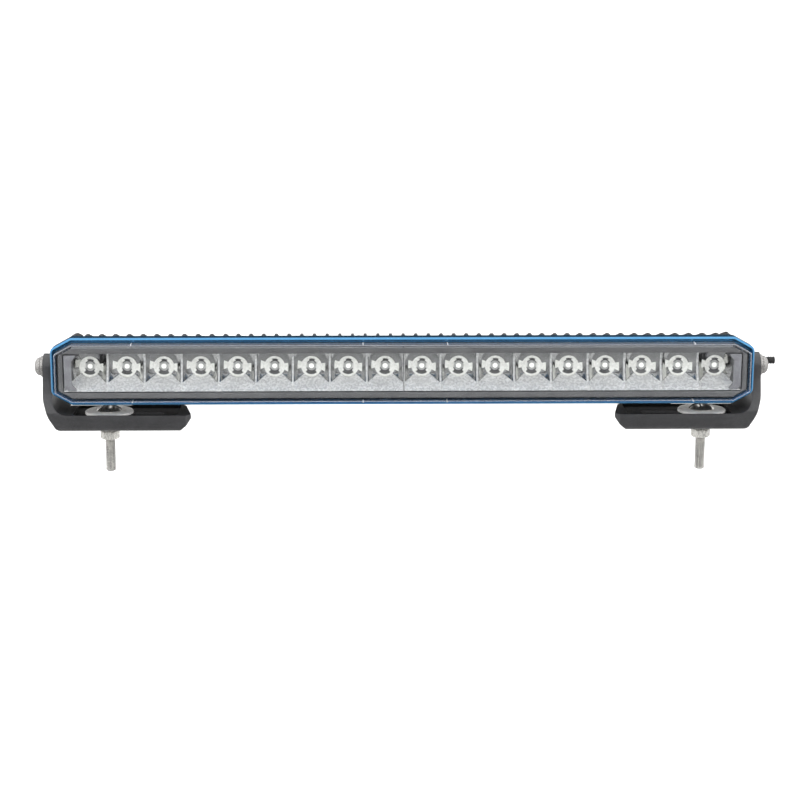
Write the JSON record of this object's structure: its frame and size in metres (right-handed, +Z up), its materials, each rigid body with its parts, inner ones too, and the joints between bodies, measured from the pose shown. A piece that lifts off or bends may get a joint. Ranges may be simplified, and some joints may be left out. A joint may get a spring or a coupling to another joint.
{
  "type": "led light bar",
  "caption": "Slim single-row LED light bar: finned housing, clear lens in a blue trim ring, tilting between two slotted L brackets with downward mounting studs.",
  "frame": {"origin": "on the plane of the brackets' undersides, midway between the two feet and straight below the tilt axis", "axes": "+X to the right of somebody who looks at the lens, the lamp shines along -Y, +Z up; the mounting studs point along -Z"},
  "size_m": [0.5757, 0.0648, 0.1097],
  "materials": {
    "casting": "black powder coat on die-cast aluminium",
    "bracket": "fine-textured semi-matt black powder coat on cast aluminium",
    "blue_ring": "glossy blue anodised",
    "lens": "clear hard-coated polycarbonate",
    "mask": "satin dark grey",
    "reflector": "vacuum-metallised mirror",
    "led": "silicone dome over pale yellow phosphor",
    "circuit_board": "white solder mask on an aluminium core",
    "driver_board": "green solder mask",
    "thermal_pad": "grey silicone gap pad",
    "rubber": "matt black",
    "nylon": "satin black",
    "stainless": "plain stainless steel"
  },
  "bodies": {
    "brackets": {"left_bracket": "bracket", "right_bracket": "bracket"},
    "lamp": {"housing": "casting", "trim_ring": "blue_ring", "lens": "lens", "lens_seal": "rubber", "reflector_mask": "mask", "reflector_left": "reflector", "reflector_right": "reflector", "led_board_left": "circuit_board", "led_board_right": "circuit_board", "thermal_pad_left": "thermal_pad", "thermal_pad_right": "thermal_pad", "driver_board": "driver_board", "breather_vent": "nylon", "cable_gland": "nylon", "gland_boot": "rubber", "led_01": "led", "led_02": "led", "led_03": "led", "led_04": "led", "led_05": "led", "led_06": "led", "led_07": "led", "led_08": "led", "led_09": "led", "led_10": "led", "led_11": "led", "led_12": "led", "led_13": "led", "led_14": "led", "led_15": "led", "led_16": "led", "led_17": "led", "led_18": "led", "ring_screw_1": "stainless", "ring_screw_2": "stainless", "ring_screw_3": "stainless", "ring_screw_4": "stainless", "ring_screw_5": "stainless", "ring_screw_6": "stainless", "ring_screw_7": "stainless", "ring_screw_8": "stainless", "left_pivot_bolt": "stainless", "left_pivot_washer": "stainless", "left_pivot_spacer": "nylon", "right_pivot_bolt": "stainless", "right_pivot_washer": "stainless", "right_pivot_spacer": "nylon"},
    "left_mount_bolt": {"left_carriage_bolt": "stainless", "left_slot_washer": "stainless", "left_flat_washer": "stainless", "left_spring_washer": "stainless", "left_hex_nut": "stainless"},
    "right_mount_bolt": {"right_carriage_bolt": "stainless", "right_slot_washer": "stainless", "right_flat_washer": "stainless", "right_spring_washer": "stainless", "right_hex_nut": "stainless"}
  },
  "joints": [
    {"name": "lamp_tilt", "type": "hinge", "parent": "brackets", "child": "lamp", "pos_m": [0, 0, 0.047], "axis": [1, 0, 0], "range_deg": [-30, 20]},
    {"name": "left_bolt_slide", "type": "slide", "parent": "brackets", "child": "left_mount_bolt", "axis": [1, 0, 0], "range_m": [-0.0065, 0.0345]},
    {"name": "right_bolt_slide", "type": "slide", "parent": "brackets", "child": "right_mount_bolt", "axis": [1, 0, 0], "range_m": [-0.04, 0.001]}
  ]
}
